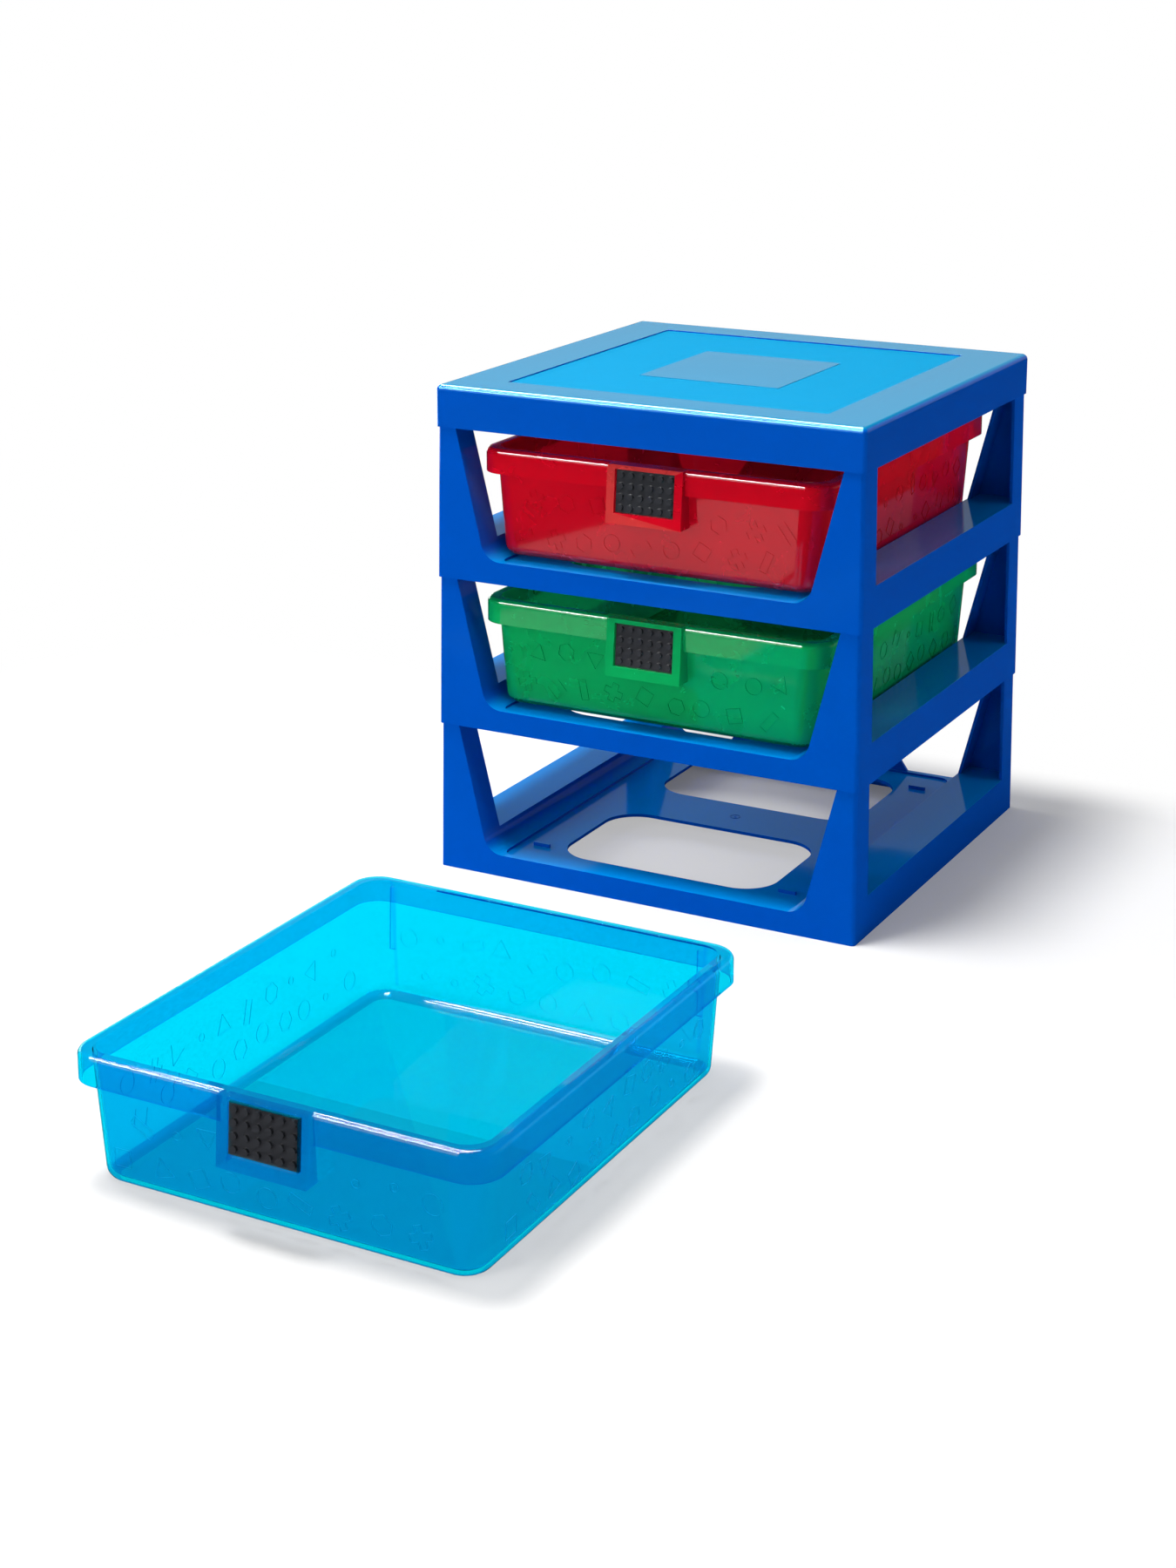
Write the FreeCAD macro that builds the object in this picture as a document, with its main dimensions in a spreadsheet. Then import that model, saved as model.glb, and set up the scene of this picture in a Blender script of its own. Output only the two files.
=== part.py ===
import FreeCAD, Part
import os
import re
import Sketcher

# Drawer storage rack: three stacked tier mouldings under one cover, with three pull-out tubs.
# Millimetres, +Z up. The front faces -Y, and the origin is the middle of the front foot edge on the floor.

SIZES = {
    # rack
    "rack_width": 346,
    "rack_depth": 336,
    "tier_pitch": 116,
    "tier_taper": 1.3,
    "rack_wall": 2.6,
    "outer_corner_radius": 3,
    "lip_level": 17,
    "ledge_level": 30.5,
    "opening_top_inset": 16.5,
    "opening_bottom_inset": 41.5,
    "opening_corner_radius": 16,
    "window_margin": 25,
    "post_cap": 3,
    "tongue_height": 8,
    "tongue_thickness": 2,
    "fit_gap": 0.3,
    "recess_depth": 1.8,
    "recess_margin": 5,
    "recess_corner_radius": 10,
    "under_step": 7.2,
    "hole_side_margin": 85,
    "hole_end_margin": 28,
    "hole_bridge": 56,
    "hole_corner_radius": 28,
    "glide_length": 14,
    "glide_width": 2,
    "glide_height": 1,
    "glide_side_margin": 69,
    "glide_end_margin": 37,
    "stop_side_margin": 90.5,
    "stop_height": 20,
    "stop_lean": 14,
    # cover
    "cover_height": 32,
    "cover_thickness": 3,
    "cover_edge_radius": 4.5,
    "panel_side_margin": 43,
    "panel_end_margin": 34,
    "panel_recess": 1,
    # drawer
    "drawer_headroom": 33,
    "drawer_side_room": 30.5,
    "drawer_front_room": 8.4,
    "drawer_back_room": 1.6,
    "drawer_wall": 2.2,
    "body_top_side_step": 7,
    "body_top_end_step": 6,
    "body_draft_side": 5,
    "body_draft_end": 3.5,
    "body_corner_radius": 18,
    "body_bottom_radius": 8,
    "rim_height": 18.5,
    "rim_corner_radius": 20,
    "rim_edge_radius": 4,
    "rib_width": 4,
    "rib_height": 44,
    "rib_depth": 2,
    "rib_side_margin": 26.5,
    # grip and stud plate
    "grip_side_margin": 6.6,
    "grip_top_margin": 3.4,
    "grip_bottom_margin": 8.3,
    "grip_top_proud": 3.2,
    "grip_bottom_proud": 6.6,
    "plate_thickness": 2.2,
    "plate_recess": 2.5,
    "plate_play": 0.2,
    "stud_pitch": 8,
    "stud_diameter": 4.9,
    "stud_height": 1.8,
    # drawer that stands on the floor
    "floor_drawer_across": 44,
    "floor_drawer_gap": 218,
}
STUD_COLUMNS = 6
STUD_ROWS = 4

doc = FreeCAD.newDocument("drawer_rack")
sheet = doc.addObject("Spreadsheet::Sheet", "sizes")
for row, (name, value) in enumerate(SIZES.items(), 1):
    sheet.set("A%d" % row, name)
    sheet.set("B%d" % row, str(value))
    sheet.setAlias("B%d" % row, name)
doc.recompute()


def formula(text):
    """A formula written with size names, as an expression on the sheet."""
    return re.sub(r"[a-z][a-z_]*", lambda m: "sizes." + m[0] if m[0] in SIZES else m[0], str(text))


def number(text):
    """What a formula comes to now."""
    return float(sheet.evalExpression(formula(text)))


def bind(thing, **formulas):
    for name, text in formulas.items():
        thing.setExpression(name, formula(text))


def place(thing, x=0, y=0, z=0):
    for axis, text in zip("xyz", (x, y, z)):
        thing.setExpression("Placement.Base." + axis, formula(text))


# Formulas that several pieces share
HALF_WIDTH = "rack_width / 2"
HALF_DEPTH = "rack_depth / 2"
RECESS_LEVEL = "(lip_level - recess_depth)"
GLIDE_LEVEL = "(lip_level + glide_height)"
SLOPE = "(opening_bottom_inset - opening_top_inset) / (tier_pitch - lip_level)"
LEDGE_INSET = "(opening_top_inset + (tier_pitch - ledge_level) * %s)" % SLOPE
TONGUE_TOP = "tier_pitch + tongue_height"
TRAY_LEVEL = "(%s + fit_gap)" % GLIDE_LEVEL
DRAWER_HEIGHT = "(tier_pitch - drawer_headroom)"
RIM_WIDTH = "(rack_width - 2 * drawer_side_room)"
RIM_DEPTH = "(rack_depth - drawer_front_room - drawer_back_room)"
RIM_FRONT = "(%s / 2)" % RIM_DEPTH
PLATE_WIDTH = "(%d * stud_pitch - plate_play)" % STUD_COLUMNS
PLATE_HEIGHT = "(%d * stud_pitch - plate_play)" % STUD_ROWS
PLATE_MIDDLE = "(%s - grip_top_margin - %s / 2)" % (DRAWER_HEIGHT, PLATE_HEIGHT)
GRIP_WIDTH = "(%s + 2 * grip_side_margin)" % PLATE_WIDTH
GRIP_HEIGHT = "(grip_top_margin + %s + grip_bottom_margin)" % PLATE_HEIGHT
GRIP_BOTTOM = "(%s - %s)" % (DRAWER_HEIGHT, GRIP_HEIGHT)
GRIP_LEAN = "((grip_bottom_proud - grip_top_proud) / %s)" % GRIP_HEIGHT


def body_depth(level):
    """Half of the tub's outer depth at a level."""
    drop = "(%s - (%s)) / %s" % (DRAWER_HEIGHT, level, DRAWER_HEIGHT)
    return "(%s - body_top_end_step - body_draft_end * %s)" % (RIM_FRONT, drop)


def body_width(level):
    """Half of the tub's outer width at a level."""
    drop = "(%s - (%s)) / %s" % (DRAWER_HEIGHT, level, DRAWER_HEIGHT)
    return "(%s / 2 - body_top_side_step - body_draft_side * %s)" % (RIM_WIDTH, drop)


def grip_face(level):
    """How far the grip's leaning front lies before the tub's middle at a level."""
    return "(%s + grip_bottom_proud - (%s - %s) * %s)" % (RIM_FRONT, level, GRIP_BOTTOM, GRIP_LEAN)


def box(name, x, y, z):
    """A box from three pairs of formulas, one pair of ends for each axis."""
    solid = doc.addObject("Part::Box", name)
    bind(solid, Length="(%s) - (%s)" % (x[1], x[0]), Width="(%s) - (%s)" % (y[1], y[0]),
         Height="(%s) - (%s)" % (z[1], z[0]))
    place(solid, x[0], y[0], z[0])
    return solid


def centred_box(name, width, depth, z):
    return box(name, ("-(%s) / 2" % width, "(%s) / 2" % width), ("-(%s) / 2" % depth, "(%s) / 2" % depth), z)


def frustum(name, bottom, top, z):
    """A box with drafted sides, from its half sizes at two levels."""
    solid = doc.addObject("Part::Wedge", name)
    bind(solid, Xmin="-(%s)" % bottom[0], Xmax=bottom[0], Zmin="-(%s)" % bottom[1], Zmax=bottom[1],
         X2min="-(%s)" % top[0], X2max=top[0], Z2min="-(%s)" % top[1], Z2max=top[1],
         Ymin=z[0], Ymax=z[1])
    solid.Placement = FreeCAD.Placement(FreeCAD.Vector(), FreeCAD.Rotation(FreeCAD.Vector(1, 0, 0), 90))
    return solid


FRONT_PLANE = FreeCAD.Rotation(FreeCAD.Vector(1, 0, 0), 90)
SIDE_PLANE = FreeCAD.Rotation(FreeCAD.Vector(1, 1, 1), 120)


def prism(name, plane, points, length, x=0, y=0):
    """A closed outline on an upright plane that stands at x, y, carried to both sides of that plane."""
    sketch = doc.addObject("Sketcher::SketchObject", name + "_outline")
    sketch.Placement = FreeCAD.Placement(FreeCAD.Vector(), plane)
    place(sketch, x, y)
    corners = [FreeCAD.Vector(number(x), number(y), 0) for x, y in points]
    count = len(corners)
    for i in range(count):
        sketch.addGeometry(Part.LineSegment(corners[i], corners[(i + 1) % count]))
    for i in range(count):
        sketch.addConstraint(Sketcher.Constraint("Coincident", i, 2, (i + 1) % count, 1))
    for i, texts in enumerate(points):
        for axis, text in zip("XY", texts):
            value = getattr(corners[i], axis.lower())
            index = sketch.addConstraint(Sketcher.Constraint("Distance" + axis, -1, 1, i, 1, value))
            sketch.renameConstraint(index, "corner_%s%d" % (axis, i))
            sketch.setExpression("Constraints.corner_%s%d" % (axis, i), formula(text))
    solid = doc.addObject("Part::Extrusion", name)
    solid.Base = sketch
    solid.DirMode = "Normal"
    solid.Symmetric = True
    solid.Solid = True
    bind(solid, LengthFwd=length)
    return solid


def mirrored(points):
    """An outline's right half, from the top down, with its left half added."""
    return list(points) + [("-(%s)" % x, y) for x, y in reversed(points)]


def cut(name, base, *tools):
    result = base
    for i, tool in enumerate(tools):
        step = doc.addObject("Part::Cut", name if i == len(tools) - 1 else "%s_step%d" % (name, i))
        step.Base = result
        step.Tool = tool
        result = step
    return result


def fuse(name, *solids):
    result = doc.addObject("Part::MultiFuse", name)
    result.Shapes = list(solids)
    return result


def rounded(name, base, radius, wanted):
    """A fillet on the edges that a test picks."""
    doc.recompute()
    result = doc.addObject("Part::Fillet", name)
    result.Base = base
    size = number(radius)
    result.Edges = [(i, size, size) for i, edge in enumerate(base.Shape.Edges, 1) if wanted(edge)]
    doc.recompute()
    return result


def upright(edge):
    box_of = edge.BoundBox
    return box_of.ZLength > max(box_of.XLength, box_of.YLength)


def at_level(level):
    height = number(level)
    return lambda edge: edge.BoundBox.ZLength < 1e-3 and abs(edge.BoundBox.ZMin - height) < 1e-3


def along_front(edge):
    box_of = edge.BoundBox
    return box_of.YLength > max(box_of.XLength, box_of.ZLength)


def tier(name, level):
    """One tier: a tray with a skirt, four corner posts and a stop at the back, moulded in one piece."""
    block = frustum(name + "_block", (HALF_WIDTH, HALF_DEPTH),
                    (HALF_WIDTH + " - tier_taper", HALF_DEPTH + " - tier_taper"), (0, "tier_pitch"))
    block = rounded(name + "_round", block, "outer_corner_radius", upright)
    inset = "2 * (rack_wall + fit_gap)"
    ring_z = ("tier_pitch - post_cap", TONGUE_TOP)
    ring = centred_box(name + "_ring", "rack_width - " + inset, "rack_depth - " + inset, ring_z)
    inset += " - 2 * tongue_thickness"
    core = centred_box(name + "_ring_core", "rack_width - " + inset, "rack_depth - " + inset, ring_z)
    whole = fuse(name + "_whole", block, cut(name + "_tongues", ring, core))

    bay = prism(name + "_bay", FRONT_PLANE, mirrored([
        (HALF_WIDTH + " - opening_top_inset", TONGUE_TOP + " + fit_gap"),
        (HALF_WIDTH + " - opening_top_inset", "tier_pitch"),
        (HALF_WIDTH + " - opening_bottom_inset", "lip_level"),
    ]), "rack_depth + rack_wall")
    lip = number("lip_level")
    bay = rounded(name + "_bay_round", bay, "opening_corner_radius",
                  lambda edge: along_front(edge) and abs(edge.BoundBox.ZMin - lip) < 1e-3)
    windows = centred_box(name + "_windows", "rack_width + rack_wall", "rack_depth - 2 * window_margin",
                          ("ledge_level", TONGUE_TOP + " + fit_gap"))
    posts = [
        (HALF_WIDTH + " - tier_taper - rack_wall", "tier_pitch - post_cap"),
        (HALF_WIDTH + " - opening_top_inset - post_cap * %s + rack_wall" % SLOPE, "tier_pitch - post_cap"),
        (HALF_WIDTH + " - %s + rack_wall" % LEDGE_INSET, "ledge_level"),
        (HALF_WIDTH + " - rack_wall", "ledge_level"),
    ]
    post_length = "rack_depth - 2 * (rack_wall + tier_taper)"
    right_posts = prism(name + "_right_posts", FRONT_PLANE, posts, post_length)
    left_posts = prism(name + "_left_posts", FRONT_PLANE, [("-(%s)" % x, z) for x, z in posts], post_length)
    under = prism(name + "_under", FRONT_PLANE, mirrored([
        (HALF_WIDTH + " - rack_wall", "-rack_wall"),
        (HALF_WIDTH + " - rack_wall", "ledge_level - rack_wall"),
        (HALF_WIDTH + " - %s + 2 * rack_wall" % LEDGE_INSET, "ledge_level - rack_wall"),
        (HALF_WIDTH + " - opening_bottom_inset - under_step", RECESS_LEVEL + " - rack_wall"),
    ]), "rack_depth - 2 * rack_wall")
    recess = centred_box(name + "_recess", "rack_width - 2 * (opening_bottom_inset + recess_corner_radius)",
                         "rack_depth - 2 * recess_margin", (RECESS_LEVEL, "lip_level + fit_gap"))
    recess = rounded(name + "_recess_round", recess, "recess_corner_radius", upright)
    holes = []
    across = ("hole_side_margin - " + HALF_WIDTH, HALF_WIDTH + " - hole_side_margin")
    near, far = "hole_bridge / 2", "(%s - hole_end_margin)" % HALF_DEPTH
    for side, ends in (("front", ("-" + far, "-" + near)), ("back", (near, far))):
        hole = box("%s_%s_hole" % (name, side), across, ends, (0, "lip_level + fit_gap"))
        holes.append(rounded("%s_%s_hole_round" % (name, side), hole, "hole_corner_radius", upright))
    shell = cut(name + "_shell", whole, bay, windows, right_posts, left_posts, under, recess, *holes)

    glides = []
    for i, (x, y) in enumerate((x, y) for x in ("", "-") for y in ("", "-")):
        x += "(%s - glide_side_margin)" % HALF_WIDTH
        y += "(%s - glide_end_margin)" % HALF_DEPTH
        glides.append(box("%s_glide%d" % (name, i), (x + " - glide_length / 2", x + " + glide_length / 2"),
                          (y + " - glide_width / 2", y + " + glide_width / 2"),
                          (RECESS_LEVEL + " - rack_wall / 2", GLIDE_LEVEL)))
    stop_half = HALF_WIDTH + " - stop_side_margin"
    stop = prism(name + "_stop", FRONT_PLANE, mirrored([
        (stop_half + " - stop_lean", "lip_level + stop_height"),
        (stop_half, "lip_level"),
        (stop_half, "lip_level - rack_wall"),
    ]), "rack_wall", y=HALF_DEPTH + " - tier_taper - rack_wall / 2")
    result = fuse(name, shell, stop, *glides)
    place(result, y=HALF_DEPTH, z=level)
    return result


def cover(name, level):
    """The cover: a flat lid with a skirt and a shallow sunk panel."""
    block = centred_box(name + "_block", "rack_width", "rack_depth", (0, "cover_height"))
    block = rounded(name + "_round", block, "outer_corner_radius", upright)
    block = rounded(name + "_edge", block, "cover_edge_radius", at_level("cover_height"))
    hollow = centred_box(name + "_hollow", "rack_width - 2 * rack_wall", "rack_depth - 2 * rack_wall",
                         ("-rack_wall", "cover_height - cover_thickness"))
    panel = centred_box(name + "_panel", "rack_width - 2 * panel_side_margin",
                        "rack_depth - 2 * panel_end_margin",
                        ("cover_height - panel_recess", "cover_height + panel_recess"))
    result = cut(name, block, hollow, panel)
    place(result, y=HALF_DEPTH, z=level)
    return result


def on_grip(name, solid):
    """A solid made at the origin, leant back and set on the middle of the grip's face."""
    result = doc.addObject("Part::Compound", name)
    result.Links = [solid]
    lean_on_grip(result, "0", "0", "0")
    return result


def lean_on_grip(thing, x, y, z):
    """Sets a piece in a drawer's grip, for a drawer that stands at x, y, z."""
    place(thing, x, "(%s) - %s" % (y, grip_face(PLATE_MIDDLE)), "(%s) + %s" % (z, PLATE_MIDDLE))
    thing.Placement.Rotation = FreeCAD.Rotation(FreeCAD.Vector(1, 0, 0), 0)
    thing.setExpression("Placement.Rotation.Angle", "-atan(%s)" % formula(GRIP_LEAN))


def drawer(name, x, y, z):
    """A tub with a turned-down rim, and a hollow grip that holds the stud plate."""
    outer = frustum(name + "_outer", (body_width("0"), body_depth("0")),
                    (body_width(DRAWER_HEIGHT), body_depth(DRAWER_HEIGHT)), (0, DRAWER_HEIGHT))
    outer = rounded(name + "_outer_round", outer, "body_corner_radius", upright)
    outer = rounded(name + "_outer_foot", outer, "body_bottom_radius", at_level("0"))
    past_top = DRAWER_HEIGHT + " + drawer_wall"
    ends = ("drawer_wall", past_top)
    foot, top = [[half(level) + " - drawer_wall" for half in (body_width, body_depth)] for level in ends]
    inner = frustum(name + "_inner", foot, top, ends)
    inner = rounded(name + "_inner_round", inner, "body_corner_radius - drawer_wall", upright)
    inner = rounded(name + "_inner_foot", inner, "body_bottom_radius", at_level("drawer_wall"))

    rim_foot = DRAWER_HEIGHT + " - rim_height"
    ceiling = DRAWER_HEIGHT + " - drawer_wall"
    rim = centred_box(name + "_rim_block", RIM_WIDTH, RIM_DEPTH, (rim_foot, DRAWER_HEIGHT))
    rim = rounded(name + "_rim_round", rim, "rim_corner_radius", upright)
    rim = rounded(name + "_rim_edge", rim, "rim_edge_radius", at_level(DRAWER_HEIGHT))
    gutter = centred_box(name + "_gutter", RIM_WIDTH + " - 2 * drawer_wall", RIM_DEPTH + " - 2 * drawer_wall",
                         (rim_foot + " - drawer_wall", ceiling))
    gutter = rounded(name + "_gutter_round", gutter, "rim_corner_radius - drawer_wall", upright)
    gap = box(name + "_rim_gap", ("-%s / 2" % GRIP_WIDTH, "%s / 2" % GRIP_WIDTH),
              ("-" + RIM_DEPTH, "-(%s)" % body_depth(rim_foot)), (0, past_top))
    rim = cut(name + "_rim", rim, gutter, gap)

    grip = prism(name + "_grip_block", SIDE_PLANE, [
        ("-" + grip_face(DRAWER_HEIGHT), DRAWER_HEIGHT),
        ("-" + grip_face(GRIP_BOTTOM), GRIP_BOTTOM),
        ("-(%s - drawer_wall / 2)" % body_depth(GRIP_BOTTOM), GRIP_BOTTOM),
        ("-(%s - drawer_wall / 2)" % body_depth(DRAWER_HEIGHT), DRAWER_HEIGHT),
    ], GRIP_WIDTH)
    behind = "(plate_recess + plate_thickness + drawer_wall)"
    mouth = GRIP_BOTTOM + " - drawer_wall"
    fingers = prism(name + "_fingers", SIDE_PLANE, [
        ("-(%s - %s)" % (grip_face(ceiling), behind), ceiling),
        ("-(%s - %s)" % (grip_face(mouth), behind), mouth),
        ("-" + body_depth(mouth), mouth),
        ("-" + body_depth(ceiling), ceiling),
    ], GRIP_WIDTH + " - 2 * drawer_wall")
    pocket = centred_box(name + "_pocket_block", PLATE_WIDTH + " + 2 * fit_gap",
                         "2 * (plate_recess + plate_thickness)",
                         ("-%s / 2 - fit_gap" % PLATE_HEIGHT, "%s / 2 + fit_gap" % PLATE_HEIGHT))
    pocket = on_grip(name + "_pocket", pocket)

    shell = cut(name + "_tub", fuse(name + "_solid", outer, rim, grip), inner, fingers, pocket)
    rib_top = DRAWER_HEIGHT + " - rim_edge_radius"
    rib_foot = rib_top + " - rib_height"
    rib_outline = [
        (body_depth(rib_top) + " - drawer_wall / 2", rib_top),
        (body_depth(rib_top) + " - drawer_wall - rib_depth", rib_top),
        (body_depth(rib_foot) + " - drawer_wall - rib_depth", rib_foot),
        (body_depth(rib_foot) + " - drawer_wall / 2", rib_foot),
    ]
    rib_place = "(%s / 2 - rib_side_margin)" % RIM_WIDTH
    ribs = [prism("%s_%s_rib" % (name, side), SIDE_PLANE, rib_outline, "rib_width", sign + rib_place)
            for side, sign in (("right", ""), ("left", "-"))]
    result = fuse(name, shell, *ribs)
    place(result, x, y, z)
    return result


def stud_plate(name, x, y, z):
    """The plate of small round studs that fills the grip's pocket."""
    pieces = [box(name + "_base", ("-%s / 2" % PLATE_WIDTH, "%s / 2" % PLATE_WIDTH),
                  ("plate_recess", "plate_recess + plate_thickness"),
                  ("-%s / 2" % PLATE_HEIGHT, "%s / 2" % PLATE_HEIGHT))]
    for column in range(STUD_COLUMNS):
        for row in range(STUD_ROWS):
            stud = doc.addObject("Part::Cylinder", "%s_stud_%d_%d" % (name, column, row))
            bind(stud, Radius="stud_diameter / 2", Height="stud_height + plate_thickness / 2")
            stud.Placement.Rotation = FreeCAD.Rotation(FreeCAD.Vector(1, 0, 0), 90)
            place(stud, "stud_pitch * %g" % (column - (STUD_COLUMNS - 1) / 2),
                  "plate_recess + plate_thickness / 2", "stud_pitch * %g" % (row - (STUD_ROWS - 1) / 2))
            pieces.append(stud)
    result = fuse(name, *pieces)
    lean_on_grip(result, x, y, z)
    return result


nodes = [
    tier("lower_tier", "0"),
    tier("middle_tier", "tier_pitch"),
    tier("upper_tier", "2 * tier_pitch"),
    cover("top_cover", "3 * tier_pitch"),
]
IN_RACK = "drawer_front_room + " + RIM_FRONT
stations = {
    "red": ("0", IN_RACK, "2 * tier_pitch + " + TRAY_LEVEL),
    "green": ("0", IN_RACK, "tier_pitch + " + TRAY_LEVEL),
    "blue": ("floor_drawer_across", "-floor_drawer_gap - " + RIM_FRONT, "0"),
}
for colour, station in stations.items():
    nodes.append(drawer(colour + "_drawer", *station))
    nodes.append(stud_plate(colour + "_stud_plate", *station))
doc.recompute()

for thing in doc.Objects:
    if "Invalid" in thing.State or "Error" in thing.State:
        raise RuntimeError("%s did not build: %s" % (thing.Name, thing.State))
os.makedirs("parts", exist_ok=True)
for node in nodes:
    if node.Shape.isNull() or not node.Shape.isValid():
        raise RuntimeError(node.Name + " has no valid shape")
    if len(node.Shape.Solids) != 1:
        raise RuntimeError("%s has %d solids" % (node.Name, len(node.Shape.Solids)))
    node.Shape.exportStep("parts/%s.step" % node.Name)
    size = node.Shape.BoundBox
    print("%-18s volume %9.0f  x %7.1f %7.1f  y %7.1f %7.1f  z %7.1f %7.1f" % (
        node.Name, node.Shape.Volume, size.XMin, size.XMax, size.YMin, size.YMax, size.ZMin, size.ZMax))
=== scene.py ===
import math
import random

import bmesh
import bpy
from bpy.props import FloatProperty, FloatVectorProperty, PointerProperty
from mathutils import Matrix, Vector


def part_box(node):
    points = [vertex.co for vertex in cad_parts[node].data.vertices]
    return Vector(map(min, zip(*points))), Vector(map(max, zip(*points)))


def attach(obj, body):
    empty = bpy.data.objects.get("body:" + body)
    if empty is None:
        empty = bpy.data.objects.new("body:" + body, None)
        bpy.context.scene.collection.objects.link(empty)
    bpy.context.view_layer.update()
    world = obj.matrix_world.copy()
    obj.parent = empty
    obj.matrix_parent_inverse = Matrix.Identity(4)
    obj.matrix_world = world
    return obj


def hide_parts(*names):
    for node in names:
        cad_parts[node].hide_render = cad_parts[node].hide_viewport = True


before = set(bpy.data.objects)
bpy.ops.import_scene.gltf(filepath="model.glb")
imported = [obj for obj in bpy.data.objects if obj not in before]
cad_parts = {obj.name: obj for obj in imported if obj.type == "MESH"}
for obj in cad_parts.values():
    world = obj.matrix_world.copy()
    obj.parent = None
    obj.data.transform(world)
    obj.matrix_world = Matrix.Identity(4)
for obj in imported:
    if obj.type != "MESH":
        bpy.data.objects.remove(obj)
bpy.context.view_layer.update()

bl_info = {
    "name": "Drawer storage rack",
    "version": (1, 0, 0),
    "blender": (4, 5, 0),
    "location": "View3D > Sidebar > Drawer Rack",
    "description": "Dresses the drawer storage rack with moulded plastic and sets its studio",
    "category": "Object",
}

MM = 0.001
TIERS = ("lower_tier", "middle_tier", "upper_tier")
DRAWERS = ("red", "green", "blue")

# Places on the CAD nodes that the added details sit on
PANEL_RECESS = 1.0 * MM
TRAY_FLOOR = 15.2 * MM
GRIP_PROUD = 6.6 * MM
GRIP_HALF_WIDTH = 30.5 * MM
RIM_BOTTOM = 64.5 * MM
TUB_HEIGHT = 83.0 * MM
TUB_FLOOR = 2.2 * MM
END_WALL_STEP = 6.0 * MM
END_WALL_DRAFT = 3.5 * MM
SIDE_WALL_STEP = 7.0 * MM
SIDE_WALL_DRAFT = 5.0 * MM
RIB_PLACE = 116.0 * MM
RIB_REACH = 2.5 * MM
RIB_BAND = 14.0 * MM
RIB_FOOT = 34.0 * MM
FLOOR_BAND = 6.0 * MM
RIM_FOOT_BAND = 0.6 * MM
FLOOR_SLOPE = 0.5
LEVEL_FACE = 0.9

# Mesh work: lengths in metres and angles in degrees
SUNK = 0.05 * MM
WELD = 0.002 * MM
FLAT_ANGLE = 0.5
SHARP_ANGLE = 35.0
RIM_SEGMENTS = 4

# Gate marks on the tiers' floors, each a ring with a pip in it
GATE_SIDES = 24
GATE_RADIUS = 4.0 * MM
GATE_LINE = 0.6 * MM
GATE_HEIGHT = 0.3 * MM
PIP_SIDES = 20
PIP_RADIUS = 1.0 * MM
PIP_HEIGHT = 0.4 * MM
PIP_TAPER = 0.85

# Layout of the outlines on the tubs' walls
MOTIF_SEED = 7
MOTIF_PITCH = 25.0 * MM
MOTIF_ROWS = (-13.0 * MM, 12.0 * MM)
MOTIF_STRAY = 3.0 * MM
WALL_END_ROOM = 20.0 * MM
GRIP_ROOM = 10.0 * MM

# Finish of the plastics
WHITE = (1.0, 1.0, 1.0)
FLOW = {"Scale": 14.0, "Detail": 3.0}
SMEAR = {"Scale": 45.0, "Detail": 4.0, "Distortion": 0.6}
GRAIN = {"Detail": 2.0}
GLOSS_DRIFT = 0.04
GRAIN_DEPTH = 0.2 * MM
OPAQUE_DRIFT = 0.06
OPAQUE_GRAIN = 0.03
OPAQUE_GRAIN_SIZE = 900.0
OPAQUE_BENDING = 1.49
PANEL_GRAIN = 0.25
PANEL_GRAIN_SIZE = 1600.0
CLEAR_DRIFT = 0.04
CLEAR_GRAIN = 0.02
CLEAR_GRAIN_SIZE = 700.0
SKIN_ROUGHNESS = 0.04
SKIN_BENDING = 1.45
TIER_SHINE = 0.14
COVER_SHINE = 0.5
PANEL_SHINE = 0.02
SQUARE_SHINE = 0.4
FROST_SHINE = 0.1
FROST_ROUGHNESS = 0.6
STUD_SHINE = 0.5
STUD_ROUGHNESS = 0.16

# Fades: where each starts and ends, and its values there
# Painted light from above: faces that look up blend to a lighter tone
PAINTED_TOP_LIGHT_FADE = (0.5, 1.0, 0.0, 1.0)
# Floor glow: a tenth white near the object, painted light that lifts its shadows, and plain white further
# off
FLOOR_FADE = (0.55, 0.95, 0.1, 1.0)
# Painted light on the floor: more white glow under the rack, behind it and before the blue tub, lifting
# their shadows
UNDER_RACK_PAINTED_LIGHT = (0.11, 0.2, 0.45, 0.0)
BEHIND_RACK_PAINTED_LIGHT = (0.34, 0.44, 0.0, 1.0)
BEFORE_TUB_PAINTED_LIGHT = (-0.54, -0.6, 0.0, 0.6)
CARD_FADE = (0.6, 0.7, 0.0, 1.0)
BACKDROP_DEPTH_FADE = (-0.2, 0.4, 0.02, 0.4)
BACKDROP_HEIGHT_FADE = (0.35, 0.4, 1.0, 0.1)
AMBIENT_REACH = (-0.3, 0.8)

# Studio: places in metres, and angles in degrees
FLOOR_WIDTH = 80.0
FLOOR_MIDDLE = (0.05, -0.1, 0.0)
UNDER_RACK = (0.0, 0.1, 0.0)
MIRRORED_FLOOR = 0.02
# Painted light: white glow on the floor where it is seen through the clear walls
THROUGH_WALL_PAINTED_LIGHT = 0.5
FAR_AMBIENT = 0.3
CARD_LIFT = 1.0 * MM
CARD_CORNERS = ((-0.2, -1.26), (-0.2, -0.5), (-0.58, -0.5))
LOW_CARD_ACROSS = -0.95
LOW_CARD_ENDS = (-0.3, 1.2)
LOW_CARD_LEVELS = (0.15, 0.36)
LOW_CARD_GLOW = 5.0

# Light strips: middle, then length and width
STRIPS = (
    ((-1.3, -0.6, 2.4), (1.9, 0.3)),
    ((-1.05, 0.75, 2.3), (1.4, 0.6)),
    ((-1.1, -1.4, 1.75), (1.3, 0.6)),
)

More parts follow.
